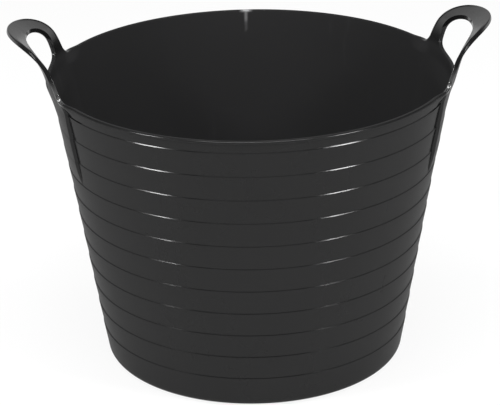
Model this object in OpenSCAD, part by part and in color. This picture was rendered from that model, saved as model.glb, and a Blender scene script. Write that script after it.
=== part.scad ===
// Flexible mixing tub with two loop handles, moulded in one piece of soft polyethylene.
// +Z is up and the origin is the middle of the face it stands on. The handles are on the X axis.
// The moulding is divided into the regions that a tool maker names, which meet face to face: its
// wall and rim divide into a front and a back half, as the slides of its mould do.
// Each handle flexes about a line through its two leg roots, drawn as a round joint.

/* [Tub] */
// Outside diameter of the rim
rim_d = 450; // [420:1:500]
// Height of the rim above the ground
tub_h = 333; // [310:1:380]
// Thickness of the wall and floor
wall_t = 3; // [2.5:0.1:3.6]
// Outward lean of the wall, in millimetres for each millimetre of height
wall_taper = 0.159; // [0.13:0.001:0.19]

/* [Heel and floor] */
// Height of the heel, from the ground to where the plain wall begins
heel_h = 14; // [13:0.5:20]
// Outside radius of the rounded heel
heel_round = 9.5; // [8:0.5:11]
// Width of the flat ring that touches the ground
foot_w = 9; // [6:0.5:14]
// Height of the floor's underside above the ground
floor_lift = 3; // [2:0.5:5]
// Diameter of the moulding pip in the middle of the underside
pip_d = 9; // [6:0.5:14]
// Height of the moulding pip
pip_h = 0.8; // [0.4:0.1:1.4]

/* [Wall steps] */
// Height of the lowest step in the wall
step_first = 36.5; // [30:0.5:50]
// Number of steps up the wall
step_count = 11; // [6:1:13]
// Width of the ledge at each step
ledge_w = 0.9; // [0.5:0.1:1.4]
// Height that each ledge slopes through
ledge_rise = 1; // [0.6:0.1:1.4]

/* [Rim] */
// Height of the plain band under the rim
band_h = 14.5; // [12:0.5:18]
// How far the lip stands out from the line of the wall
lip_out = 2; // [1:0.1:3]
// Height of the rounded lip
lip_h = 4; // [3:0.5:5]
// Radius of the rim's inner edge
inner_lip_r = 0.6; // [0.4:0.1:1]

/* [Handle panels] */
// Height above the ground where the panels start to swell, moved to the nearest step
panel_base_h = 235; // [200:1:260]
// How far a panel stands out from the line of the wall at rim height
panel_out = 6; // [4:0.1:8]
// Half the angle that a panel takes of the rim
panel_half = 23.7; // [23.5:0.1:26]
// Depth of the steps on a panel, as a share of those on the wall
panel_step = 0.4; // [0.2:0.1:1]

/* [Handles] */
// Half the outside width of a handle at its root
handle_half_w = 83.5; // [80:0.5:86]
// Length of a handle from the rim to its tip, along the curled sheet
handle_len = 75; // [70:0.5:82]
// Thickness of the handle sheet
handle_t = 4.6; // [4:0.1:5.2]
// How far the sheet stands out from the rim at rim height
handle_out = 3.8; // [3:0.1:5]
// Outward lean of the legs in degrees
handle_lean = 17; // [12:0.5:22]
// Length of leg below the curl
leg_straight = 26; // [22:0.5:30]
// Radius of the curl that turns the grip outward
curl_r = 46.5; // [42:0.5:60]
// Bend of the tip in plan, as a multiple of the bend of the rim
tip_bend = 1.27; // [1:0.01:1.4]
// Radius of the fillet between a leg and the rim
root_fillet = 8.5; // [6:0.5:9]

/* [Finger holes] */
// Width of a leg at the widest part of its finger hole
leg_w = 24.8; // [22:0.1:28]
// Width of the grip at the tip
grip_w = 25; // [22:0.5:30]
// How far the sill of the hole dips below the rim
sill_depth = 2.2; // [1:0.1:3.5]
// Height of the widest part of the hole above the rim
hole_wide_h = 17; // [14:0.5:19]

/* [Flex joints] */
// Height of a flex line above the rim
flex_h = 8; // [7.5:0.1:9]
// Radius of the round root of a leg
flex_r = 7; // [6.8:0.1:7.3]
// Gap round the root of a leg
flex_gap = 0.3; // [0.2:0.05:0.4]

/* [Hidden] */

black = [0.07, 0.07, 0.075];
black_light = [0.1, 0.1, 0.105];
round_fn = 180;
rim_r = rim_d / 2;
far = 400;

// Wall line
lean = atan(wall_taper);
wall_flat_t = wall_t / cos(lean);
function wall_r(z) = rim_r - lip_out - wall_taper * (tub_h - z);
function wall_in_r(z) = wall_r(z) - wall_flat_t;

// Steps
band_z = tub_h - band_h;
step_pitch = (band_z - step_first) / (step_count - 1);
function step_z(i) = step_first + i * step_pitch;

// Panels: each starts on a step, and its swell grows in a straight line from there to the rim
panel_first = round((panel_base_h - step_first) / step_pitch);
panel_z = step_z(panel_first) + ledge_rise;
function swell(z) = max(0, panel_out * (z - panel_z) / (tub_h - panel_z));
web_half = panel_half - asin(wall_t / rim_r);
shoulder_half = panel_half + 6;

// Handle sheet: a profile in the XZ plane, followed by arc length s from the rim
sheet_r = rim_r + handle_out - handle_t / 2;
function curl(s) = handle_lean + max(0, s - leg_straight) / curl_r * 180 / PI;
function sheet_x(s) = sheet_r + min(s, leg_straight) * sin(handle_lean)
    + curl_r * (cos(handle_lean) - cos(curl(s)));
function sheet_z(s) = tub_h + min(s, leg_straight) * cos(handle_lean)
    + curl_r * (sin(curl(s)) - sin(handle_lean));
function plan_bend(s) = 1 + (tip_bend - 1) * max(0, s) / handle_len;
function plan_turn(y, s) = y / sheet_x(s) * 180 / PI;
// A point of the sheet: y is measured round the tub, lift is the distance out of the sheet
function on_sheet(y, s, lift) =
    let (r = sheet_x(s), a = plan_turn(y, s), k = plan_bend(s), c = curl(s))
    [r - k * r * (1 - cos(a)) + lift * cos(c) * cos(k * a),
     r * sin(a) + lift * cos(c) * sin(k * a),
     sheet_z(s) - lift * sin(c)];

// Outlines of the handle and of its finger hole in (y, s)
hole_half_w = handle_half_w - leg_w;
hole_top = handle_len - grip_w;
arch_start = asin(hole_wide_h / handle_len);
sill_power = 4;
hole_power = 2.2;
function outer_y(s) = handle_half_w * sqrt(1 - pow(max(0, s) / handle_len, 2));
function sill_s(y) = hole_wide_h - (hole_wide_h + sill_depth)
    * pow(1 - pow(min(1, abs(y) / hole_half_w), sill_power), 1 / sill_power);
root_half = (handle_half_w + root_fillet) / sheet_r * 180 / PI;
function hole_low_y(s) = hole_half_w
    * pow(1 - pow((hole_wide_h - s) / (hole_wide_h + sill_depth), sill_power), 1 / sill_power);

// Flex line
flex_z = tub_h + flex_h;
flex_s = flex_h / cos(handle_lean);
leg_in_y = hole_low_y(flex_s);
leg_out_y = outer_y(flex_s);
flex_x = (on_sheet(leg_in_y, flex_s, 0)[0] + on_sheet(leg_out_y, flex_s, 0)[0]) / 2;
root_in_y = on_sheet(leg_in_y, flex_s, 0)[1];
root_out_y = on_sheet(outer_y(0), flex_s, 0)[1];

// Heel
heel_mid_r = wall_r(heel_round) - heel_round / cos(lean);
foot_in_r = heel_mid_r - foot_w;
floor_r = foot_in_r - floor_lift;
floor_top = floor_lift + wall_t;
inner_round = heel_round - wall_t;
inner_mid_r = wall_in_r(floor_top + inner_round) - inner_round / cos(lean);
heel_arc = [for (i = [0 : 8]) -90 + (90 - lean) * i / 8];

module ring(points) {
    rotate_extrude($fn = round_fn) polygon(points);
}

// A sector of a ring, centred at an angle from the X axis
module sector(points, middle, half_angle) {
    rotate([0, 0, middle - half_angle])
        rotate_extrude(angle = 2 * half_angle, $fn = round_fn) polygon(points);
}

module turned() {
    rotate([0, 0, 180]) children();
}

// The stepped outside of the wall above step first, with a swell and a share of the step
function steps_above(first, out, share) = concat(
    [[wall_r(step_z(first) + ledge_rise) - ledge_w / 2, step_z(first) + ledge_rise]],
    [for (i = [first + 1 : step_count - 1], side = [-1, 1])
        let (z = step_z(i) + (side < 0 ? 0 : ledge_rise))
        if (i < step_count - 1 || side < 0)
        [wall_r(z) + out * swell(z) - side * share * ledge_w / 2, z]]);

module base_panel() {
    color(black) union() {
        translate([0, 0, floor_lift]) cylinder(h = wall_t, r = floor_r, $fn = round_fn);
        translate([0, 0, floor_lift - pip_h]) cylinder(h = wall_t, d = pip_d, $fn = 48);
    }
}

// The flat ring that the tub stands on, from the floor's edge to the heel
module foot_ring() {
    color(black_light) ring([[floor_r, floor_lift], [foot_in_r, 0], [heel_mid_r, 0],
                             [inner_mid_r, floor_top], [floor_r, floor_top]]);
}

// The rounded corner between the foot and the wall
module heel() {
    color(black_light) sector(concat(
        [for (a = heel_arc) [heel_mid_r + heel_round * cos(a), heel_round * (1 + sin(a))]],
        [[wall_r(heel_h), heel_h], [wall_in_r(heel_h), heel_h]],
        [for (i = [8 : -1 : 0]) let (a = heel_arc[i])
            if (floor_top + inner_round * (1 + sin(a)) < heel_h)
            [inner_mid_r + inner_round * cos(a), floor_top + inner_round * (1 + sin(a))]]),
        -90, 90);
}

// The wall below the panels, from the heel to the step that they start on
module lower_wall() {
    color(black) sector(concat(
        [[wall_r(heel_h), heel_h]],
        [for (i = [0 : panel_first], side = [-1, 1]) let (z = step_z(i) + (side < 0 ? 0 : ledge_rise))
            [wall_r(z) - side * ledge_w / 2, z]],
        [[wall_in_r(panel_z), panel_z], [wall_in_r(heel_h), heel_h]]), -90, 90);
}

// The wall between the two panels
module upper_wall() {
    color(black) sector(concat(steps_above(panel_first, 0, 1),
                               [[wall_in_r(band_z), band_z], [wall_in_r(panel_z), panel_z]]),
                        -90, 90 - panel_half);
}

// Section of the rim at an angle from a handle's middle: from the outside of the band, over the top
// and down the inside. It is the plain rim beyond the shoulder and the handle sheet between them.
lip_r = lip_h / 2;
lip_neck = lip_out / 4;
web_turn = 0.6;
function smooth(t) = let (u = min(1, max(0, t))) u * u * (3 - 2 * u);
function mixed(from, to, t) = from + (to - from) * t;
function sheet_face_r(z, side) = sheet_r + side * handle_t / 2 / cos(handle_lean)
    + (z - tub_h) * tan(handle_lean);
function rim_section(turn) =
    let (past = abs(turn), top = tub_h + root_top(past * PI / 180 * sheet_r) * cos(handle_lean),
         // Share of the handle sheet in the section: at the top, at the foot outside and inside
         share = smooth((shoulder_half - past) / (shoulder_half - root_half)),
         out_share = smooth((panel_half - past) / web_turn),
         in_share = smooth((web_half - past) / web_turn),
         out_round = mixed(lip_r, handle_t / 2, share),
         in_round = mixed(inner_lip_r, handle_t / 2, share),
         out_low = wall_r(band_z) - ledge_w / 2 + swell(band_z) * out_share,
         in_low = wall_in_r(band_z) + swell(band_z) * in_share,
         out_top = mixed(rim_r, sheet_face_r(top, 1), share),
         in_top = mixed(wall_in_r(top), sheet_face_r(top, -1), share),
         neck_z = top - 2 * out_round,
         neck_line = mixed(out_low, out_top, (neck_z - band_z) / (top - band_z)))
    concat([[out_low, band_z], [mixed(wall_r(neck_z) + lip_neck, neck_line, share), neck_z]],
           [for (a = [-30 : 30 : 90])
               [out_top - out_round * (1 - cos(a)), top - out_round * (1 - sin(a))]],
           [for (a = [60 : -30 : 0])
               [in_top + in_round * (1 - cos(a)), top - in_round * (1 - sin(a))]],
           [[in_low, band_z]]);

module rim_band() {
    color(black_light) sector(rim_section(shoulder_half), -90, 90 - shoulder_half);
}

// A panel is a swelled field of wall, hollow behind, with a web at each side back to the wall
module handle_panel() {
    function hollow_r(z) = wall_in_r(z) + panel_out * (z - panel_z) / (tub_h - panel_z);
    low = panel_z - wall_t;
    high = band_z + wall_t;
    color(black_light) difference() {
        sector(concat(steps_above(panel_first, 1, panel_step),
                      [[wall_in_r(band_z), band_z], [wall_in_r(panel_z), panel_z]]), 0, panel_half);
        sector([[hollow_r(low), low], [hollow_r(high), high],
                [wall_in_r(low) - wall_t, high], [wall_in_r(low) - wall_t, low]], 0, web_half);
    }
}

// Faces of a closed solid lofted through rings of equal length
function loft_faces(rings, size) = concat(
    [[for (j = [size - 1 : -1 : 0]) j]],
    [for (i = [0 : rings - 2], j = [0 : size - 1], half = [0, 1])
        let (k = (j + 1) % size, a = i * size, b = a + size)
        half == 0 ? [a + j, a + k, b + k] : [a + j, b + k, b + j]],
    [[for (j = [0 : size - 1]) (rings - 1) * size + j]]);

module loft(sections) {
    size = len(sections[0]);
    polyhedron(points = [for (s = sections, p = s) p], faces = loft_faces(len(sections), size),
               convexity = 6);
}

// Top of the moulding at a place round the rim: rim, fillet, leg or sill
function root_top(y) =
    let (a = abs(y), past = a - handle_half_w)
    a < leg_in_y ? sill_s(a) :
    a < handle_half_w ? flex_s :
    past < root_fillet ? root_fillet - sqrt(pow(root_fillet, 2) - pow(root_fillet - past, 2)) : 0;

root_steps = 120;

module handle_root() {
    color(black) difference() {
        loft([for (i = [0 : root_steps]) let (turn = shoulder_half * (2 * i / root_steps - 1))
            [for (p = rim_section(turn)) [p[0] * cos(turn), p[0] * sin(turn), p[1]]]]);
        for (side = [-1, 1]) translate([flex_x, side * (root_in_y + root_out_y) / 2, flex_z])
            rotate([90, 0, 0])
                cylinder(h = root_out_y - root_in_y + 2 * flex_gap, r = flex_r + flex_gap,
                         center = true, $fn = 64);
    }
}

// Places round the strap: [outer y, outer s, inner y, inner s] up one leg and round half the arch
leg_steps = 4;
arch_steps = 13;
half_strap = concat(
    [for (i = [0 : leg_steps - 1]) let (s = hole_wide_h * i / leg_steps)
        [outer_y(s), s, s < flex_s ? leg_in_y : hole_low_y(s), s]],
    [for (i = [0 : arch_steps])
        let (u = i / arch_steps, a = arch_start + (90 - arch_start) * u, b = 90 * u)
        [handle_half_w * cos(a), handle_len * sin(a),
         hole_half_w * pow(cos(b), 2 / hole_power),
         hole_wide_h + (hole_top - hole_wide_h) * pow(sin(b), 2 / hole_power)]]);
strap = concat(half_strap, [for (i = [len(half_strap) - 2 : -1 : 0]) let (p = half_strap[i])
    [-p[0], p[1], -p[2], p[3]]]);

// Section of the strap across its width, with round edges: [distance in from the edge, lift]
across = 5;
edge_turns = [-60, -30, 0, 30, 60];
function strap_section(place) =
    let (outer = [place[0], place[1]], inner = [place[2], place[3]], width = norm(inner - outer),
         dir = (inner - outer) / width, e = handle_t / 2)
    [for (q = concat(
        [for (a = edge_turns) [e - e * cos(a), e * sin(a)]],
        [for (i = [0 : across]) [e + (width - 2 * e) * i / across, e]],
        [for (i = [4 : -1 : 0]) let (a = edge_turns[i]) [width - e + e * cos(a), e * sin(a)]],
        [for (i = [across : -1 : 0]) [e + (width - 2 * e) * i / across, -e]]))
        let (p = outer + dir * q[0]) on_sheet(p[0], p[1], q[1])];

module handle() {
    color(black_light) intersection() {
        loft([for (place = strap) strap_section(place)]);
        union() {
            translate([0, -far / 2, flex_z]) cube([far, far, far]);
            translate([flex_x, 0, flex_z]) rotate([90, 0, 0])
                cylinder(h = far, r = flex_r, center = true, $fn = 64);
        }
    }
}

base_panel();
foot_ring();
heel();  // heel_front
turned() heel();  // heel_back
lower_wall();  // lower_wall_front
turned() lower_wall();  // lower_wall_back
upper_wall();  // upper_wall_front
turned() upper_wall();  // upper_wall_back
rim_band();  // rim_front
turned() rim_band();  // rim_back
turned() handle_panel();  // handle_panel_left
handle_panel();  // handle_panel_right
turned() handle_root();  // handle_root_left
handle_root();  // handle_root_right
turned() handle();  // handle_left
handle();  // handle_right
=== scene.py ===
"""Looks of the flexible mixing tub: one black polyethylene moulding with two loop handles.

The tub wall is one closed shell, and each handle with the stretch of rim it grows from is one closed
piece, with the leg roots where the real handle bends. Sizes are in millimetres in the working code and in
metres in the meshes, in the frame of the CAD: +Z up, handles on the X axis, origin under the middle of the
foot.
"""
import math

import bmesh
import bpy
import numpy as np
from mathutils import Matrix, Vector
from mathutils.geometry import delaunay_2d_cdt


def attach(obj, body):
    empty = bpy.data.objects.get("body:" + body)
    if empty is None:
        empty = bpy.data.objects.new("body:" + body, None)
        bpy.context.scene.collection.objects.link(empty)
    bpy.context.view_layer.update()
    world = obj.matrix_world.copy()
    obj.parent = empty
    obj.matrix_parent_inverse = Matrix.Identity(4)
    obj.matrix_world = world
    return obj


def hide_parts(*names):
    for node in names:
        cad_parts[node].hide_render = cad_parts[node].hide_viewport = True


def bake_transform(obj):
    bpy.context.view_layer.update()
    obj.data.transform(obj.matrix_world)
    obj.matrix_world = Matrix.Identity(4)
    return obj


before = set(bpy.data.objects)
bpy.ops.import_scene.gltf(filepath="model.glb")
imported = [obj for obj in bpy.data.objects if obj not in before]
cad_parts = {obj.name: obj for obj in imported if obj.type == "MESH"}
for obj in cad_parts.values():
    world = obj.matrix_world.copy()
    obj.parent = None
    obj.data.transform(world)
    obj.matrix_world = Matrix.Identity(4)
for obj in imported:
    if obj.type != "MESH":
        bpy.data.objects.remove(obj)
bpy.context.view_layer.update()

# ---------------------------------------------------------------- sizes that the CAD has too
RIM_R, TUB_H, WALL_T, TAPER = 225.0, 333.0, 3.0, 0.159
LEAN = math.atan(TAPER)
FLAT_T = WALL_T / math.cos(LEAN)
HEEL_H, HEEL_ROUND, FOOT_W, FLOOR_LIFT, PIP_R, PIP_H = 14.0, 9.5, 9.0, 3.0, 4.5, 0.8
STEP_FIRST, STEP_COUNT, LEDGE_W, LEDGE_RISE = 36.5, 11, 0.9, 1.0
LIP_OUT, LIP_R, INNER_LIP_R = 2.0, 2.0, 0.6
BAND_H = 14.5
BAND_Z = TUB_H - BAND_H
PITCH = (BAND_Z - STEP_FIRST) / (STEP_COUNT - 1)
PANEL_FIRST, PANEL_OUT, PANEL_HALF, PANEL_STEP = 7, 6.0, 23.7, 0.4
PANEL_Z = STEP_FIRST + PANEL_FIRST * PITCH + LEDGE_RISE
HALF_W, SHEET_T, HANDLE_OUT, HANDLE_LEAN = 83.5, 4.6, 3.8, math.radians(17)
CURL_R, TIP_BEND, FILLET = 46.5, 1.27, 8.5
LEG_W, CAD_LENGTH, GRIP_W, HOLE_WIDE = 24.8, 75.0, 25.0, 17.0
HOLE_HALF, HOLE_TOP = HALF_W - LEG_W, CAD_LENGTH - GRIP_W
HOLE_POWER, SILL_POWER = 2.2, 4.0
SHEET_R = RIM_R + HANDLE_OUT - SHEET_T / 2
WEB_HALF = PANEL_HALF - math.degrees(math.asin(WALL_T / RIM_R))
SHOULDER = PANEL_HALF + 6
ROOT_HALF = math.degrees((HALF_W + FILLET) / SHEET_R)

# ---------------------------------------------------------------- sizes that differ from the CAD The
# handle is 0.5 shorter and its straight leg 0.3 shorter, to keep its round edge inside the CAD's
# box.
LENGTH, LEG_STRAIGHT, SILL_DIP = 74.5, 25.7, -0.1
# Form of a panel: how far its sides stand out, how fast they rise to that, the height of its flare to
# the legs, and how late between its middle and its sides the one gives way to the other
PANEL_SIDE_OUT, PANEL_SIDE_RISE, PANEL_FLARE_H, PANEL_SIDE_POWER = 3.4, 14.0, 36.0, 1.4
# A panel's side: the share of the swell by distance in from the side's line, at the panel's radius
PANEL_MID_R = 215.0
SIDE_AT = [-1.5, -1.0, -0.8, -0.6, 0.55, 0.75, 1.0, 1.6]
SIDE_SHARE = [0.0, 0.012, 0.07, 0.17, 0.83, 0.93, 0.985, 1.0]
SIDE_ANGLES = [PANEL_HALF - math.degrees(e / PANEL_MID_R) for e in SIDE_AT]
# The same side on the inside of the tub, in degrees
WEB_OUT, WEB_SLOPE = 0.4, 5.0
# Round corners of a ledge, how far up and out the outside goes on past the topmost one, the share of
# its height left under a handle, and the degrees past the shoulder over which that comes back
LEDGE_R_OUT, LEDGE_R_IN, LEDGE_TOP, LEDGE_TOP_OUT, LEDGE_END, LEDGE_FADE = 0.6, 0.4, 1.7, 0.05, 0.02, 4.0
# The rim's neck and bead, as distances below its top, and how far the neck stands out
NECK_DROP, NECK_OUT, BEAD_DROP = 4.0, 0.5, 3.8
# Round edge of a handle, and the roll on the inner edge of the finger hole's top: depth and width
EDGE_R, ROLL_T, ROLL_W = 1.3, 3.1, 3.3
# Height over which a leg's plan leaves the rim's, and the roll sets in. A root's lean sets in from
# TIP_LOW, over TIP_RISE.
PLAN_RISE, ROLL_RISE, TIP_LOW, TIP_RISE = 8.0, 12.0, -12.0, 10.0

# ---------------------------------------------------------------- spacing of the meshes
# The distance given to points with no edge near them
FAR = 99.0
# Angles this close count as one, and a section this much nearer the handle than the shoulder is rimless
SAME_ANGLE, JUST_INSIDE = 1e-9, 1e-6
# Radii of the rings of points that the floor has on both faces
FLOOR_RADII = [12, 30, 60, 95, 125]
# Distances below the rim, and in from the edges of a handle, of the rows that round them
RIM_ROWS = [0, 0.08, 0.3, 0.65, 1.1, 1.6, 2.1, 2.7, 3.25, 3.65, 3.85, 4.1, 4.6]
# Rows of the band: their count, the first above its foot outside and inside, the last below the rim
BAND_ROWS, BAND_FIRST_OUT, BAND_FIRST_IN, BAND_LAST = 5, 2.4, 1.2, 5.2
# Steps between columns of the shell in degrees, and in millimetres between rows on a panel's back,
# along outlines, across and up a handle's grid, and up the columns on a panel's sides
COLUMN_STEP, PANEL_ROW, OUTLINE_STEP, GRID_Y, GRID_S, SIDE_STEP = 0.75, 4, 1.5, 2.0, 1.9, 1.1

# ---------------------------------------------------------------- gloss and the painted highlight line
# Coat weight outside, inside, on the grips and at the feet of the legs' edges. The legs' edges
# above their feet keep only a share of it.
GLOSS_OUT, GLOSS_IN, GLOSS_GRIP, GLOSS_LEG_FOOT, GLOSS_EDGE_SHARE = 0.21, 0.02, 0.7, 1.0, 0.04
# Painted highlight line inside the back of the rim: angle, half width in degrees down the wall and on the
# lip
HIGHLIGHT_LINE_AT, HIGHLIGHT_LINE_HALF, HIGHLIGHT_LIP_HALF = 88.5, 0.6, 2.0


def wall_r(z):
    """Radius of the plain wall's outside at a height."""
    return RIM_R - LIP_OUT - TAPER * (TUB_H - z)


def wall_in_r(z):
    """Radius of the wall's inside at a height."""
    return wall_r(z) - FLAT_T


def smooth(t):
    """A soft step from 0 at t = 0 to 1 at t = 1."""
    t = min(1.0, max(0.0, t))
    return t * t * (3 - 2 * t)


def rise(value, start, over):
    """A soft step from 0 at the start to 1 at a distance past it."""
    return smooth((value - start) / over)


def mix(a, b, t):
    """From a at t = 0 to b at t = 1."""
    return a + (b - a) * t


def swell(z, past):
    """How far the panel stands out of the wall at an angle from its middle. It is flatter than the wall
    round the tub, so it stands out most at its sides, and it flares out to the leg roots at its top."""
    sides = PANEL_SIDE_OUT * (1 - math.exp(-max(0.0, z - PANEL_Z) / PANEL_SIDE_RISE))
    middle = PANEL_OUT * smooth((z - TUB_H + PANEL_FLARE_H) / PANEL_FLARE_H)
    return mix(middle, sides, min(1.0, past / PANEL_HALF) ** PANEL_SIDE_POWER)


def rounded(points, radii, count=4):
    """A polyline with its corners rounded: radii gives each corner's radius."""
    out = [points[0]]
    for i in range(1, len(points) - 1):
        p, a, b = (np.array(points[j], float) for j in (i, i - 1, i + 1))
        u, v = a - p, b - p
        lu, lv = np.linalg.norm(u), np.linalg.norm(v)
        u, v = u / lu, v / lv
        turn = math.pi - math.acos(max(-1, min(1, float(u @ v))))
        cut = radii[i] * math.tan(turn / 2)
        if radii[i] <= 0 or turn < 0.02:
            out.append(tuple(p))
            continue
        cut = min(cut, 0.48 * lu, 0.48 * lv)
        for k in range(count + 1):
            t = k / count
            q = (1 - t) ** 2 * (p + u * cut) + 2 * t * (1 - t) * p + t * t * (p + v * cut)
            out.append(tuple(q))
    out.append(points[-1])
    return out


def new_mesh(name, verts_mm, faces, sharp_deg=38, marks=None):
    """Closed mesh with smooth faces and marked sharp edges. marks gives vertex attributes by name."""
    mesh = bpy.data.meshes.new(name)
    mesh.from_pydata([(x / 1000, y / 1000, z / 1000) for x, y, z in verts_mm], [], faces)
    bm = bmesh.new()
    bm.from_mesh(mesh)
    for key, values in (marks or {}).items():
        layer = bm.verts.layers.float.new(key)
        for vert, value in zip(bm.verts, values):
            vert[layer] = value
    bmesh.ops.remove_doubles(bm, verts=bm.verts, dist=1e-6)
    bmesh.ops.dissolve_degenerate(bm, dist=1e-6, edges=bm.edges)
    bmesh.ops.recalc_face_normals(bm, faces=bm.faces)
    limit = math.radians(sharp_deg)
    for edge in bm.edges:
        edge.smooth = not (len(edge.link_faces) == 2 and edge.calc_face_angle(0) > limit)
    for face in bm.faces:
        face.smooth = True
    bm.to_mesh(mesh)
    bm.free()
    obj = bpy.data.objects.new(name, mesh)
    bpy.context.scene.collection.objects.link(obj)
    return obj


# ---------------------------------------------------------------- tub shell
def side_share(past):
    """How much of a panel's swell a place has: a steep side with rounded corners, past in degrees."""
    return float(np.interp(math.radians(PANEL_HALF - past) * PANEL_MID_R, SIDE_AT, SIDE_SHARE))


def web_share(past):
    """The same for the inside, where the panel's side is a soft slope."""
    return smooth((WEB_HALF + WEB_OUT - past) / WEB_SLOPE)


def angle_columns():
    """Column angles in degrees for one handle side, -90 to 90, with close columns at the panel's sides."""
    base = list(np.arange(-90, 90, COLUMN_STEP))
    keep = [a for a in base if min(abs(abs(a) - n) for n in SIDE_ANGLES) > 0.12]
    keep += SIDE_ANGLES + [-n for n in SIDE_ANGLES]
    keep = [a for a in keep if abs(abs(a) - SHOULDER) > 0.2]
    return sorted(keep + [-SHOULDER, SHOULDER])


def outer_wall_rows():
    """(z, distance from the wall's own line) up the outside from the heel to the band, steps rounded."""
    points, radii = [(HEEL_H, 0.0)], [0]
    half = LEDGE_W / 2
    for i in range(STEP_COUNT):
        z = STEP_FIRST + i * PITCH
        foot = (z - PITCH if i else HEEL_H)
        for k in (0.3, 0.6, 0.85):
            zk = foot + (z - foot) * k
            points.append((zk, mix(-half if i else 0.0, half, (zk - foot) / (z - foot))))
            radii.append(0)
        points += [(z, half), (z + LEDGE_RISE, -half)]
        radii += [LEDGE_R_OUT, LEDGE_R_IN]
    return rounded(points + [(BAND_Z + LEDGE_TOP, -half + LEDGE_TOP_OUT)], radii + [0])


def rim_out(z):
    """Outside of the plain rim above the band's foot: a flared band under a round bead."""
    if z >= TUB_H - LIP_R:
        return RIM_R
    neck_z = TUB_H - NECK_DROP
    neck = mix(wall_r(BAND_Z) - LEDGE_W / 2, wall_r(neck_z) + NECK_OUT, (z - BAND_Z) / (neck_z - BAND_Z))
    bead = RIM_R - LIP_R + math.sqrt(max(0, LIP_R ** 2 - (TUB_H - LIP_R - z) ** 2))
    return bead if z > TUB_H - BEAD_DROP else neck


def edge_round(d, r):
    """How far an edge of radius r falls away from its face at a distance d in from the edge."""
    return 0.0 if d >= r else r - math.sqrt(max(0.0, r * r - (r - d) ** 2))


def heel_arc(middle, radius, low, count):
    """The round of the heel from its lowest point up to the line of the wall."""
    angles = [-math.pi / 2 + (math.pi / 2 - LEAN) * k / count for k in range(count + 1)]
    return [(middle + radius * math.cos(a), low + radius * (1 + math.sin(a))) for a in angles]


def section(past):
    """Closed section of the tub at an angle from a handle's middle, from the middle of the underside,
    up the outside and down the inside, as (radius, z). Every section has as many points."""
    out_share, in_share = side_share(past), web_share(past)
    heel_mid = wall_r(HEEL_ROUND) - HEEL_ROUND / math.cos(LEAN)
    foot_in = heel_mid - FOOT_W
    floor_r = foot_in - FLOOR_LIFT
    pip_z = FLOOR_LIFT - PIP_H
    pts = [(0, pip_z), (PIP_R - 0.5, pip_z), (PIP_R - 0.15, pip_z + 0.1), (PIP_R, pip_z + 0.4),
           (PIP_R + 0.1, FLOOR_LIFT)]
    pts += [(r, FLOOR_LIFT) for r in FLOOR_RADII + [143]]
    pts += rounded([(143.5, FLOOR_LIFT), (floor_r, FLOOR_LIFT), (foot_in, 0), (heel_mid, 0)],
                   [0, 1.5, 0.8, 0])
    pts += heel_arc(heel_mid, HEEL_ROUND, 0, 14)[1:]
    ledge = mix(LEDGE_END, 1.0, rise(past, SHOULDER, LEDGE_FADE))
    for z, off in OUTER_ROWS:
        z = z if z < BAND_Z else BAND_Z + (z - BAND_Z) * ledge
        share = out_share if z > PANEL_Z else 0.0
        step = mix(off * PANEL_STEP, -LEDGE_W / 2, smooth((z - BAND_Z + PITCH / 2) / (PITCH / 2)))
        pts.append((wall_r(z) + swell(z, past) * share + mix(off, step, share), z))
    if past >= SHOULDER - SAME_ANGLE:
        for z in np.linspace(BAND_Z + BAND_FIRST_OUT, TUB_H - BAND_LAST, BAND_ROWS):
            pts.append((rim_out(z), float(z)))
        for d in reversed(RIM_ROWS):
            z = TUB_H - d
            pts.append((rim_out(z) - edge_round(d, LIP_R), z))
        pts.append(((rim_out(TUB_H) + wall_in_r(TUB_H)) / 2, TUB_H))
        for d in RIM_ROWS:
            z = TUB_H - d
            pts.append((wall_in_r(z) + edge_round(d, INNER_LIP_R), z))
        for z in np.linspace(TUB_H - BAND_LAST, BAND_Z + BAND_FIRST_IN, BAND_ROWS):
            pts.append((wall_in_r(float(z)), float(z)))
    else:
        count = 2 * (BAND_ROWS + len(RIM_ROWS)) + 1
        a = pts[-1]
        b = (wall_in_r(BAND_Z) + swell(BAND_Z, past) * in_share, BAND_Z)
        pts += [(mix(a[0], b[0], k / count), mix(a[1], b[1], k / count)) for k in range(count)]
    panel_rows = [BAND_Z - PANEL_ROW * k for k in range(21)]
    for z in panel_rows + [PANEL_Z + 1.5, PANEL_Z, PANEL_Z - PANEL_ROW]:
        pts.append((wall_in_r(z) + swell(z, past) * in_share, z))
    floor_top = FLOOR_LIFT + WALL_T
    inner_round = HEEL_ROUND - WALL_T
    inner_mid = wall_in_r(floor_top + inner_round) - inner_round / math.cos(LEAN)
    pts += [(wall_in_r(z), z) for z in (200, 160, 120, 80, 45, 25, 16)]
    pts += heel_arc(inner_mid, inner_round, floor_top, 12)[::-1]
    return pts + [(r, floor_top) for r in [150] + FLOOR_RADII[::-1] + [0]]


OUTER_ROWS = outer_wall_rows()


def painted_highlight_line(turn, z):
    """Strength of the painted highlight, a pale line inside the back of the rim: faint
    down the wall, stronger near the rim, and full on the lip."""
    off = abs(turn - HIGHLIGHT_LINE_AT)
    wall = 0.1 * rise(z, TUB_H - 27, 5) + 0.3 * rise(z, TUB_H - 16, 6)
    lip = rise(z, TUB_H - 3, 2)
    return max(max(0.0, 1 - off / HIGHLIGHT_LINE_HALF) * wall, max(0.0, 1 - off / HIGHLIGHT_LIP_HALF) * lip)


def rim_end():
    """Sections that close the rim's cut end: the whole rim, the rim without its bead, and no rim."""
    whole = section(SHOULDER)
    neck = rim_out(TUB_H - min(d for d in RIM_ROWS if d > BEAD_DROP))
    return [whole, [(min(r, neck), z) for r, z in whole], section(SHOULDER - JUST_INSIDE)]


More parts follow.
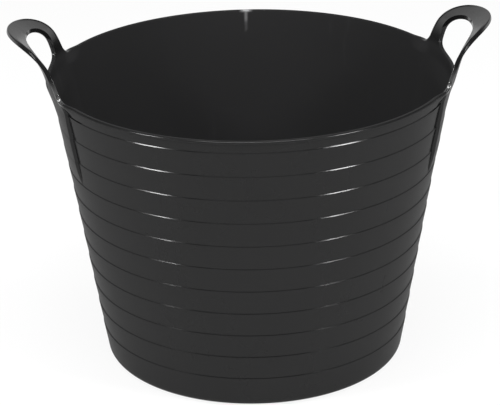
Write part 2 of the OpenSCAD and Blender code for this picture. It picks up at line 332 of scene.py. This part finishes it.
def make_shell():
    """The tub without its handles: sections all round, closed at the rim's cut ends under the handles."""
    columns = []
    for side in (0, 180):
        for a in angle_columns():
            if abs(abs(a) - SHOULDER) < SAME_ANGLE:
                end = rim_end()
                columns += [(a + side, pts) for pts in (end if a < 0 else reversed(end))]
            else:
                columns.append((a + side, section(abs(a))))
    verts, faces = [], []
    n = len(columns[0][1])
    for a, pts in columns:
        c, s = math.cos(math.radians(a)), math.sin(math.radians(a))
        verts += [(r * c, r * s, z) for r, z in pts]
    total = len(columns)
    for i in range(total):
        k = (i + 1) % total
        for j in range(n - 1):
            faces.append((i * n + j, k * n + j, k * n + j + 1, i * n + j + 1))
    plain = section(90)
    top = max(range(n), key=lambda j: plain[j][1])
    # Inner faces: they take the inside's lighter, painted colour and its low gloss
    inner = [float(j > top + 3) for j in range(n)] * total
    # Painted highlight: strength of the pale line inside the back of the rim, which also raises the gloss
    # there
    painted_highlight = [painted_highlight_line(a, z) if j >= top - 4 else 0.0
            for a, pts in columns for j, (r, z) in enumerate(pts)]
    gloss = [max(mix(GLOSS_OUT, GLOSS_IN, v), w) for v, w in zip(inner, painted_highlight)]
    return new_mesh("tub_shell", verts, faces, marks={"inside": inner, "gloss": gloss, "painted_highlight": painted_highlight})


# ---------------------------------------------------------------- handles
def curl(s):
    """Outward lean of the handle's sheet at a distance s up it."""
    return HANDLE_LEAN + max(0.0, s - LEG_STRAIGHT) / CURL_R


def sheet_x(s):
    """Distance of the middle of the sheet from the tub's axis."""
    up = min(s, LEG_STRAIGHT)
    return (SHEET_R + up * math.sin(HANDLE_LEAN)
            + CURL_R * (math.cos(HANDLE_LEAN) - math.cos(curl(s))))


def sheet_z(s):
    """Height of the middle of the sheet."""
    up = min(s, LEG_STRAIGHT)
    return TUB_H + up * math.cos(HANDLE_LEAN) + CURL_R * (math.sin(curl(s)) - math.sin(HANDLE_LEAN))


def face_r(turn, z, side):
    """Radius of the root's outer (side 1) or inner (side -1) face at an angle and a height: a cubic
    that goes on from the panel's slope below and from the leg's above."""
    slope = math.tan(HANDLE_LEAN)
    top = SHEET_R + side * SHEET_T / 2 / math.cos(HANDLE_LEAN)
    if z >= TUB_H:
        return top + (z - TUB_H) * slope
    if side > 0:
        low = wall_r(BAND_Z) - LEDGE_W / 2 + swell(BAND_Z, turn) * side_share(turn)
    else:
        low = wall_in_r(BAND_Z) + swell(BAND_Z, turn) * web_share(turn)
    h = TUB_H - BAND_Z
    t = (z - BAND_Z) / h
    low_slope = TAPER + (swell(BAND_Z, turn) - swell(BAND_Z - 1, turn)) * web_share(turn)
    return ((2 * t ** 3 - 3 * t ** 2 + 1) * low + (t ** 3 - 2 * t ** 2 + t) * h * low_slope
            + (3 * t ** 2 - 2 * t ** 3) * top + (t ** 3 - t ** 2) * h * slope)


def handle_point(y, s, side, d, hole_d=FAR):
    """A point of the handle piece on its outer (1) or inner (-1) face: y round the tub, s up the sheet,
    d the distance in from the free edge and hole_d from the finger hole, whose top is rolled over."""
    lift = side * SHEET_T / 2
    if s > 0:
        r, k, c = sheet_x(s), 1 + (TIP_BEND - 1) * s / LENGTH, curl(s)
        reach = SHEET_R + (r - SHEET_R) * smooth(s / PLAN_RISE)
        a = y / reach
        cut = edge_round(d, EDGE_R)
        if side < 0:
            cut = max(cut, ROLL_T * roll(hole_d) * rise(s, HOLE_WIDE, ROLL_RISE))
        lift -= side * cut
        return (r - k * r * (1 - math.cos(a)) + lift * math.cos(c) * math.cos(k * a),
                r * math.sin(a) + lift * math.cos(c) * math.sin(k * a), sheet_z(s) - lift * math.sin(c))
    a = y / SHEET_R
    turn = abs(math.degrees(a))
    m = smooth((SHOULDER - turn) / (SHOULDER - ROOT_HALF))
    tip = rise(s, TIP_LOW, TIP_RISE) * m
    z = TUB_H + s - lift * math.sin(HANDLE_LEAN) * tip
    plain = rim_out(z) if side > 0 else wall_in_r(z)
    r = mix(plain, face_r(turn, z, side), m)
    cut = edge_round(d, mix(LIP_R if side > 0 else INNER_LIP_R, EDGE_R, m))
    r -= side * cut * math.cos(HANDLE_LEAN * tip)
    z += side * cut * math.sin(HANDLE_LEAN) * tip
    return (r * math.cos(a), r * math.sin(a), z)


def roll(hole_d):
    """Share of the roll's drop at a distance from the finger hole: a bevel that starts with a soft bend."""
    t = max(0.0, 1 - hole_d / ROLL_W)
    return t * smooth(t * 5)


def resample(points, step):
    """Points evenly spaced along a polyline, about a step apart."""
    points = np.array(points, float)
    lengths = np.r_[0, np.cumsum(np.linalg.norm(np.diff(points, axis=0), axis=1))]
    count = max(2, int(round(lengths[-1] / step)))
    at = np.linspace(0, lengths[-1], count + 1)
    return np.stack([np.interp(at, lengths, points[:, k]) for k in (0, 1)], 1)


def top_outline():
    """Free edge of the handle piece from the right shoulder over the handle to the left one."""
    edge_y = math.radians(SHOULDER) * SHEET_R
    half = [(edge_y, 0.0), (HALF_W + FILLET, 0.0)]
    for k in range(1, 41):
        a = math.pi / 2 * k / 40
        s = FILLET * (1 - math.cos(a))
        half.append((HALF_W * math.sqrt(1 - (s / LENGTH) ** 2) + FILLET * (1 - math.sin(a)), s))
    start = math.asin(FILLET / LENGTH)
    for k in range(1, 121):
        a = start + (math.pi / 2 - start) * k / 120
        half.append((HALF_W * math.cos(a), LENGTH * math.sin(a)))
    half = resample(half, OUTLINE_STEP)
    half[-1][0] = 0.0
    return np.concatenate([half, [(-y, s) for y, s in half[-2::-1]]])


def hole_outline():
    """Edge of the finger hole, closed: two halves of superellipses that meet where it is widest."""
    low, high = [], []
    for k in range(91):
        b = math.pi / 2 * k / 90
        low.append((HOLE_HALF * math.sin(b) ** (2 / SILL_POWER),
                    HOLE_WIDE - (HOLE_WIDE + SILL_DIP) * math.cos(b) ** (2 / SILL_POWER)))
        high.append((HOLE_HALF * math.cos(b) ** (2 / HOLE_POWER),
                     HOLE_WIDE + (HOLE_TOP - HOLE_WIDE) * math.sin(b) ** (2 / HOLE_POWER)))
    right = resample(low[:-1] + high, OUTLINE_STEP)
    right[0][0] = right[-1][0] = 0.0
    return np.concatenate([right, [(-y, s) for y, s in right[-2:0:-1]]])


def inward(points, closed, sign):
    """Unit normals of a polyline, turned towards the material."""
    if closed:
        d = np.roll(points, -1, axis=0) - np.roll(points, 1, axis=0)
    else:
        d = np.gradient(points, axis=0)
        d[0], d[-1] = (-1, 0), (-1, 0)
    d /= np.linalg.norm(d, axis=1)[:, None]
    return sign * np.stack([-d[:, 1], d[:, 0]], 1)


def inside(points, ring):
    """For each point, whether it lies inside a closed ring."""
    x, y = points[:, 0][:, None], points[:, 1][:, None]
    x0, y0 = ring[:, 0], ring[:, 1]
    x1, y1 = np.roll(x0, -1), np.roll(y0, -1)
    cross = ((y0 > y) != (y1 > y)) & (x < (x1 - x0) * (y - y0) / (y1 - y0 + 1e-12) + x0)
    return cross.sum(1) % 2 == 1


def edge_distance(points, outline):
    """For each point, its distance from the nearest point of an outline."""
    return np.array([np.hypot(*(outline - p).T).min() for p in points])


def handle_gloss(inner, y, s, edge_d):
    """Gloss of a handle piece: high on the grip, dull along the legs' outer edges, bright at their feet."""
    base = mix(mix(GLOSS_OUT, GLOSS_IN, inner), GLOSS_GRIP, rise(s, 14, 34))
    leg_edge = (1 - rise(edge_d, 2, 3)) * rise(s, 0, 10) * (1 - rise(s, 60, 8))
    foot_edge = (1 - rise(edge_d, 1.3, 1.5)) * (1 - rise(s, 10, 16))
    foot_edge *= smooth((HALF_W + 18 - abs(y)) / 12)
    return mix(base * mix(1, GLOSS_EDGE_SHARE, leg_edge), GLOSS_LEG_FOOT, foot_edge)


def make_handle(name, left):
    """A handle with its roots and the rim between the shoulders: its outline is filled with triangles
    flat in (y, s), and both faces and the edges between them are laid out from that."""
    top, hole = top_outline(), hole_outline()
    foot = BAND_Z - TUB_H
    edge_y = top[0][0]
    verts, depth, edges = [], [], []

    def add_loop(points, d, closed):
        """Adds a line of points that the triangles must follow, d in from the free edge or the hole."""
        start = len(verts)
        verts.extend([tuple(map(float, p)) for p in points])
        depth.extend([d] * len(points))
        edges.extend([(start + i, start + i + 1) for i in range(len(points) - 1)])
        if closed:
            edges.append((start + len(points) - 1, start))
        return list(range(start, start + len(points)))

    top_n, hole_n = inward(top, False, 1), inward(hole, True, -1)
    top_loops = [add_loop(top + top_n * d, d, False) for d in RIM_ROWS]
    hole_loops = [add_loop(hole + hole_n * d, d, True) for d in RIM_ROWS]
    side_ys = [sign * math.radians(a) * SHEET_R for a in SIDE_ANGLES for sign in (-1, 1)]

    def near_side(y):
        """Distance from the nearest column on a panel's side."""
        return min(abs(y - side_y) for side_y in side_ys)

    bottom_ys = [y for y in np.linspace(edge_y, -edge_y, 171) if near_side(y) > 0.5] + side_ys
    bottom = add_loop([(y, foot) for y in sorted(bottom_ys, reverse=True)], FAR, False)
    levels = [foot + BAND_FIRST_IN + (TUB_H - BAND_LAST - BAND_Z - BAND_FIRST_IN) * k / (BAND_ROWS - 1)
              for k in range(BAND_ROWS)]
    sides = []
    for sign, low, end in ((1, bottom[0], 0), (-1, bottom[-1], -1)):
        mid = add_loop([(sign * edge_y, s) for s in levels], FAR, False)
        up = [loop[end] for loop in reversed(top_loops)]
        chain = [low] + mid + up
        edges.extend(zip(chain[:-1], chain[1:]))
        sides.append(chain)
    corners = [(-edge_y, foot), (edge_y, foot)]
    ring = np.concatenate([top, corners])
    deep = RIM_ROWS[-1] + 0.9
    deep_ring, deep_hole = np.concatenate([top + top_n * deep, corners]), hole + hole_n * deep
    gy, gs = np.meshgrid(np.arange(-edge_y + 1.2, edge_y - 1.0, GRID_Y),
                         np.arange(foot + 1.3, LENGTH, GRID_S))
    gy = gy + (np.arange(gy.shape[0]) % 2)[:, None] * GRID_Y / 2
    grid = np.stack([gy.ravel(), gs.ravel()], 1)
    grid = grid[inside(grid, deep_ring) & ~inside(grid, deep_hole) & (np.abs(grid[:, 0]) < edge_y - 1.0)]
    grid = [(y, s) for y, s in grid if s > -4 or near_side(y) > 0.9]
    grid += [(y, s) for y in side_ys for s in np.arange(foot + SIDE_STEP, -BAND_LAST, SIDE_STEP)]
    verts.extend([tuple(map(float, p)) for p in grid])
    depth.extend([FAR] * len(grid))

    out = delaunay_2d_cdt([Vector(v) for v in verts], edges, [], 0, 1e-7)
    new_verts, tris, origin = out[0], out[2], out[3]
    back = {}
    for i, olds in enumerate(origin):
        for o in olds:
            back[o] = i
    flat = np.array([tuple(v) for v in new_verts])
    d_new = np.full(len(flat), FAR)
    for o, i in back.items():
        d_new[i] = min(d_new[i], depth[o])
    mids = np.array([flat[list(t)].mean(0) for t in tris])
    keep = inside(mids, ring) & ~inside(mids, hole)
    tris = [tuple(t) for t, k in zip(tris, keep) if k]
    count = len(flat)
    hole_d, edge_d = edge_distance(flat, hole), edge_distance(flat, top)
    points = [handle_point(y, s, 1, d) for (y, s), d in zip(flat, d_new)]
    points += [handle_point(y, s, -1, d, h) for (y, s), d, h in zip(flat, d_new, hole_d)]
    # Inner faces low on the root take the inside's lighter, painted colour and its gloss
    inner = [0.0] * count + [smooth((10 - s) / 12) for y, s in flat]
    gloss = [handle_gloss(v, y, s, e) for v, (y, s), e in zip(inner, [*flat, *flat], [*edge_d, *edge_d])]
    faces = tris + [(c + count, b + count, a + count) for a, b, c in tris]

    def strip(chain, closed):
        """Joins the outer face to the inner one along an edge."""
        chain = [back[i] for i in chain]
        pairs = list(zip(chain[:-1], chain[1:])) + ([(chain[-1], chain[0])] if closed else [])
        faces.extend([(a, b, b + count, a + count) for a, b in pairs])

    strip(top_loops[0], False)
    strip(hole_loops[0], True)
    strip(bottom, False)
    for chain in sides:
        strip(chain, False)
    if left:
        points = [(-x, -y, z) for x, y, z in points]
    return new_mesh(name, points, faces, 42, {"inside": inner, "gloss": gloss})


shell = make_shell()
handle_right = make_handle("handle_right_moulding", False)
handle_left = make_handle("handle_left_moulding", True)


# ---------------------------------------------------------------- material
def tub_material():
    """Black polyethylene: a matt body under a coat whose weight is the gloss, with grain and soft waves."""
    mat = bpy.data.materials.new("black_polyethylene")
    mat.use_nodes = True
    tree = mat.node_tree
    nodes, links = tree.nodes, tree.links
    shader = nodes["Principled BSDF"]
    shader.inputs["IOR"].default_value = 1.51
    shader.inputs["Specular IOR Level"].default_value = 0.0
    shader.inputs["Coat IOR"].default_value = 1.9
    shader.inputs["Coat Roughness"].default_value = 0.16
    place = nodes.new("ShaderNodeTexCoord").outputs["Object"]

    def noise(scale, detail, rough=0.5, stretch=(1, 1, 1), spin=(0, 0, 0)):
        mapping = nodes.new("ShaderNodeMapping")
        mapping.inputs["Scale"].default_value = stretch
        mapping.inputs["Rotation"].default_value = spin
        links.new(place, mapping.inputs["Vector"])
        node = nodes.new("ShaderNodeTexNoise")
        node.inputs["Scale"].default_value = scale
        node.inputs["Detail"].default_value = detail
        node.inputs["Roughness"].default_value = rough
        links.new(mapping.outputs["Vector"], node.inputs["Vector"])
        return node.outputs["Fac"]

    def span(value, low, high, to_low, to_high):
        node = nodes.new("ShaderNodeMapRange")
        for name, v in (("From Min", low), ("From Max", high), ("To Min", to_low), ("To Max", to_high)):
            node.inputs[name].default_value = v
        links.new(value, node.inputs["Value"])
        return node.outputs["Result"]

    def math_node(kind, a, b):
        node = nodes.new("ShaderNodeMath")
        node.operation = kind
        for i, v in enumerate((a, b)):
            if isinstance(v, (int, float)):
                node.inputs[i].default_value = v
            else:
                links.new(v, node.inputs[i])
        return node.outputs[0]

    cloud = noise(9, 4)
    scuff_a = span(noise(70, 5, 0.62, (1, 1, 0.06), (0.25, 0.1, 0)), 0.6, 0.72, 0, 1)
    scuff_b = span(noise(55, 5, 0.62, (0.07, 1, 1), (0.1, 0.5, 0.7)), 0.62, 0.74, 0, 1)
    patches = span(noise(14, 3), 0.42, 0.62, 0, 1)
    scuffs = math_node("MULTIPLY", math_node("MAXIMUM", scuff_a, scuff_b), patches)
    grain = noise(2600, 2)

    def attribute(name):
        node = nodes.new("ShaderNodeAttribute")
        node.attribute_name = name
        return node.outputs["Fac"]

    def mix_node():
        node = nodes.new("ShaderNodeMix")
        node.data_type = "RGBA"
        return node

    def bump(strength, distance, height):
        node = nodes.new("ShaderNodeBump")
        node.inputs["Strength"].default_value = strength
        node.inputs["Distance"].default_value = distance
        links.new(height, node.inputs["Height"])
        return node

    inside, gloss = attribute("inside"), attribute("gloss")

    def shade(low, high):
        """A grey from low to high, higher on scuffs and in the pale parts of the clouds."""
        node = mix_node()
        node.inputs["A"].default_value = (low, low, low * 1.02, 1)
        node.inputs["B"].default_value = (high, high, high * 1.02, 1)
        links.new(math_node("ADD", math_node("MULTIPLY", scuffs, 0.35), math_node("MULTIPLY", cloud, 0.25)),
                  node.inputs["Factor"])
        return node.outputs["Result"]

    # Painted light: the inside takes lighter greys than the outside, standing in for light in the tub's
    # hollow
    colour = mix_node()
    links.new(inside, colour.inputs["Factor"])
    links.new(shade(0.006, 0.017), colour.inputs["A"])
    links.new(shade(0.018, 0.0275), colour.inputs["B"])
    # Painted highlight: a pale grey mixed into the colour along the line inside the back of the rim
    pale = mix_node()
    pale.inputs["B"].default_value = (0.28, 0.28, 0.285, 1)
    links.new(attribute("painted_highlight"), pale.inputs["Factor"])
    links.new(colour.outputs["Result"], pale.inputs["A"])
    links.new(pale.outputs["Result"], shader.inputs["Base Color"])

    links.new(span(cloud, 0.35, 0.65, 0.45, 0.55), shader.inputs["Roughness"])
    links.new(math_node("MULTIPLY", gloss, span(scuffs, 0, 1, 1.0, 0.7)), shader.inputs["Coat Weight"])

    wave = bump(1.0, 0.00035, noise(26, 2))
    fine = bump(0.25, 0.00002, grain)
    links.new(wave.outputs["Normal"], fine.inputs["Normal"])
    links.new(fine.outputs["Normal"], shader.inputs["Normal"])
    links.new(fine.outputs["Normal"], shader.inputs["Coat Normal"])
    return mat


black = tub_material()
for piece in (shell, handle_left, handle_right):
    piece.data.materials.append(black)
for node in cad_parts.values():
    node.data.materials.clear()
    node.data.materials.append(black)

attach(shell, "tub")
grip_nodes = ("handle_left", "handle_right", "handle_root_left", "handle_root_right")
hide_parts(*[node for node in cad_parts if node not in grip_nodes])
for piece, side, sign in ((handle_left, "handle_left", -1), (handle_right, "handle_right", 1)):
    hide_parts(side, side.replace("handle", "handle_root"))
    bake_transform(piece)


# ---------------------------------------------------------------- stage, light and camera
TURN = math.radians(2.6)
FLOOR_HALF, FLOOR_GLOW = 6000, 0.85
LAMP_AIM = Vector((0, 0, 0.18))
# The camera as fitted to the photograph: focal length in its pixels, tilt and roll in degrees, distance
# and sideways and upward offsets in metres
PHOTO_W, FOCAL_PX, SENSOR_W = 500, 2179.1, 36
CAMERA_TILT, CAMERA_ROLL, CAMERA_AWAY, CAMERA_RIGHT, CAMERA_UP = 22.667, 1.0, 2.504, -0.003235, 0.02086
CAMERA_AIM = Vector((0, 0, 0.150))


def floor_material():
    """Matt white floor. Most of it glows where it is seen or mirrored, so that it reads as white and
    still keeps the tub's soft shadow."""
    mat = bpy.data.materials.new("floor_white")
    mat.use_nodes = True
    tree = mat.node_tree
    nodes, links = tree.nodes, tree.links
    matt = nodes["Principled BSDF"]
    matt.inputs["Base Color"].default_value = (0.9, 0.9, 0.9, 1)
    matt.inputs["Roughness"].default_value = 0.9
    matt.inputs["Specular IOR Level"].default_value = 0.0
    glow = nodes.new("ShaderNodeEmission")
    glow.inputs["Strength"].default_value = 1.0
    path = nodes.new("ShaderNodeLightPath")
    seen = path.outputs["Is Camera Ray"]
    for other in ("Is Glossy Ray", "Is Transmission Ray"):
        add = nodes.new("ShaderNodeMath")
        add.operation = "MAXIMUM"
        links.new(seen, add.inputs[0])
        links.new(path.outputs[other], add.inputs[1])
        seen = add.outputs[0]
    share = nodes.new("ShaderNodeMath")
    share.operation = "MULTIPLY"
    share.inputs[1].default_value = FLOOR_GLOW
    links.new(seen, share.inputs[0])
    mixed = nodes.new("ShaderNodeMixShader")
    links.new(share.outputs[0], mixed.inputs[0])
    links.new(matt.outputs[0], mixed.inputs[1])
    links.new(glow.outputs[0], mixed.inputs[2])
    links.new(mixed.outputs[0], nodes["Material Output"].inputs["Surface"])
    return mat


floor_corners = [(x * FLOOR_HALF, y * FLOOR_HALF, 0) for x, y in ((-1, -1), (1, -1), (1, 1), (-1, 1))]
floor = new_mesh("floor", floor_corners, [(0, 1, 2, 3)])
floor.data.materials.append(floor_material())


def lamp(name, azimuth, elevation, distance, width, height, power):
    """A rectangular lamp turned to the tub, at an azimuth and elevation in degrees seen from it: 0 is the
    camera's side."""
    a, e = math.radians(azimuth) - TURN, math.radians(elevation)
    towards = Vector((math.sin(a) * math.cos(e), -math.cos(a) * math.cos(e), math.sin(e)))
    data = bpy.data.lights.new(name, "AREA")
    data.shape = "RECTANGLE"
    data.size, data.size_y, data.energy = width, height, power
    obj = bpy.data.objects.new(name, data)
    obj.location = LAMP_AIM + distance * towards
    obj.rotation_euler = (LAMP_AIM - obj.location).to_track_quat("-Z", "Y").to_euler()
    bpy.context.scene.collection.objects.link(obj)


lamp("softbox_left", -62, 37.5, 2.0, 0.42, 0.3, 23)
lamp("softbox_right", 55.5, 38.5, 2.0, 0.42, 0.3, 23)
lamp("overhead", 0, 62, 2.4, 2.2, 2.0, 8)
lamp("top_strip", 0, 78, 2.2, 1.4, 0.3, 22)


def studio_world():
    """Pale walls that are white at the floor's horizon, darker above them, and a soft bright ceiling."""
    world = bpy.data.worlds.new("studio")
    world.use_nodes = True
    nodes, links = world.node_tree.nodes, world.node_tree.links
    height = nodes.new("ShaderNodeSeparateXYZ")
    links.new(nodes.new("ShaderNodeTexCoord").outputs["Generated"], height.inputs[0])
    ramp = nodes.new("ShaderNodeValToRGB")
    ramp.color_ramp.interpolation = "EASE"
    stops = ramp.color_ramp.elements
    for at, level in ((0.08, 1.0), (0.15, 0.65), (0.42, 0.6), (0.54, 0.12), (0.68, 0.12), (0.85, 0.7)):
        stop = stops.new(at)
        stop.color = (level, level, level, 1)
    stops.remove(stops[0])
    stops.remove(stops[-1])
    links.new(height.outputs["Z"], ramp.inputs["Fac"])
    links.new(ramp.outputs["Color"], nodes["Background"].inputs["Color"])
    return world


scene = bpy.context.scene
scene.world = studio_world()

cam_data = bpy.data.cameras.new("camera")
cam_data.sensor_width = SENSOR_W
cam_data.lens = FOCAL_PX / PHOTO_W * SENSOR_W
cam_data.clip_end = 30
camera = bpy.data.objects.new("camera", cam_data)
tilt, tip_over = math.radians(CAMERA_TILT), math.radians(CAMERA_ROLL)
right, forward = Vector((1, 0, 0)), Vector((0, math.cos(tilt), -math.sin(tilt)))
up = Vector((0, math.sin(tilt), math.cos(tilt)))
where = CAMERA_AIM - CAMERA_AWAY * forward + CAMERA_RIGHT * right + CAMERA_UP * up
cam_x = math.cos(tip_over) * right - math.sin(tip_over) * up
cam_y = math.sin(tip_over) * right + math.cos(tip_over) * up
turn = Matrix.Rotation(-TURN, 3, "Z")
axes = Matrix((turn @ cam_x, turn @ cam_y, turn @ -forward)).transposed().to_4x4()
camera.matrix_world = Matrix.Translation(turn @ where) @ axes
scene.collection.objects.link(camera)
scene.camera = camera
scene.view_settings.view_transform = "Standard"
